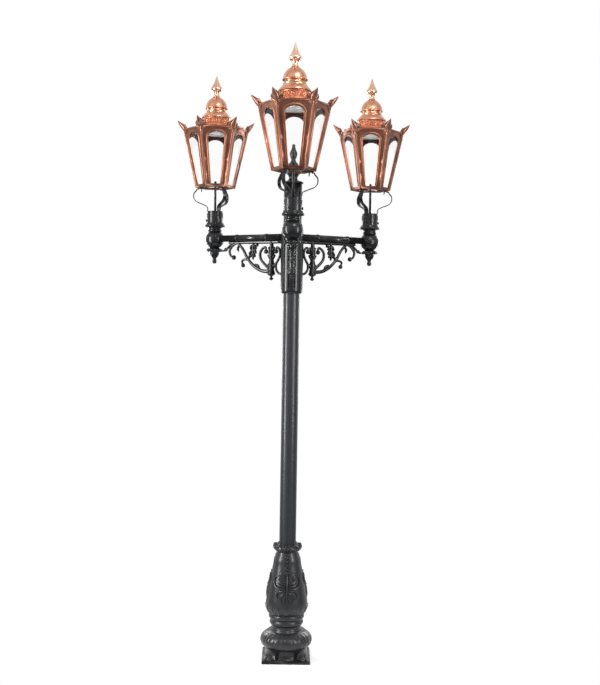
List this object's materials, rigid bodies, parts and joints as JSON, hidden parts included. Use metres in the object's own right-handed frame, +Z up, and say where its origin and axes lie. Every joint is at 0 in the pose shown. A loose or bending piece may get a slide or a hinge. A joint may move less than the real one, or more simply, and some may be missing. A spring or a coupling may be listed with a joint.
{
  "type": "lamp post",
  "caption": "Ornamental black cast post with scrolled bracket arms, each carrying a six-sided glazed copper lantern on a strip frog, for lighting streets, drives and gardens.",
  "frame": {"origin": "on the ground, at the middle of the base plate's underside", "axes": "+Z up the shaft; -Y along the front arm; the other two arms stand 120 degrees either side of it"},
  "size_m": [1.5014, 1.3119, 3.6893],
  "materials": {
    "black_iron": "semi-gloss black paint",
    "black_steel": "semi-gloss black paint",
    "copper": "polished copper sheet under clear lacquer",
    "clear_glass": "clear toughened glass",
    "zinc_steel": "zinc plated",
    "white_enamel": "gloss white enamel",
    "lamp_white": "opal diffuser"
  },
  "bodies": {
    "post": {"base_casting": "black_iron", "base_collar": "black_iron", "shaft": "black_steel", "head_casting": "black_iron", "post_finial": "black_iron", "foot_studs": "zinc_steel", "frog_screws": "zinc_steel", "arm_front": "black_steel", "arm_right": "black_steel", "arm_left": "black_steel", "bracket_front": "black_iron", "bracket_right": "black_iron", "bracket_left": "black_iron", "ball_cup_front": "black_iron", "ball_cup_right": "black_iron", "ball_cup_left": "black_iron", "drop_finial_front": "black_iron", "drop_finial_right": "black_iron", "drop_finial_left": "black_iron", "frog_sleeve_front": "black_steel", "frog_sleeve_right": "black_steel", "frog_sleeve_left": "black_steel", "frog_legs_front": "black_steel", "frog_legs_right": "black_steel", "frog_legs_left": "black_steel", "conduit_front": "black_steel", "conduit_right": "black_steel", "conduit_left": "black_steel", "lantern_case_front": "copper", "lantern_case_right": "copper", "lantern_case_left": "copper", "crown_front": "copper", "crown_right": "copper", "crown_left": "copper", "glass_panes_front": "clear_glass", "glass_panes_right": "clear_glass", "glass_panes_left": "clear_glass", "glass_floor_front": "clear_glass", "glass_floor_right": "clear_glass", "glass_floor_left": "clear_glass", "hinge_pin_front": "zinc_steel", "hinge_pin_right": "zinc_steel", "hinge_pin_left": "zinc_steel"},
    "lid_front": {"roof_front": "copper", "vent_cap_front": "copper", "spear_finial_front": "copper", "reflector_front": "white_enamel", "led_lamp_front": "lamp_white"},
    "lid_right": {"roof_right": "copper", "vent_cap_right": "copper", "spear_finial_right": "copper", "reflector_right": "white_enamel", "led_lamp_right": "lamp_white"},
    "lid_left": {"roof_left": "copper", "vent_cap_left": "copper", "spear_finial_left": "copper", "reflector_left": "white_enamel", "led_lamp_left": "lamp_white"}
  },
  "joints": [
    {"name": "lid_front_hinge", "type": "hinge", "parent": "post", "child": "lid_front", "pos_m": [0, -0.40717, 3.347], "axis": [-1, 0, 0], "range_deg": [0, 90]},
    {"name": "lid_right_hinge", "type": "hinge", "parent": "post", "child": "lid_right", "pos_m": [0.34561, 0.21703, 3.347], "axis": [0.4226, -0.9063, 0], "range_deg": [0, 90]},
    {"name": "lid_left_hinge", "type": "hinge", "parent": "post", "child": "lid_left", "pos_m": [-0.34561, 0.21703, 3.347], "axis": [0.4226, 0.9063, 0], "range_deg": [0, 90]}
  ]
}
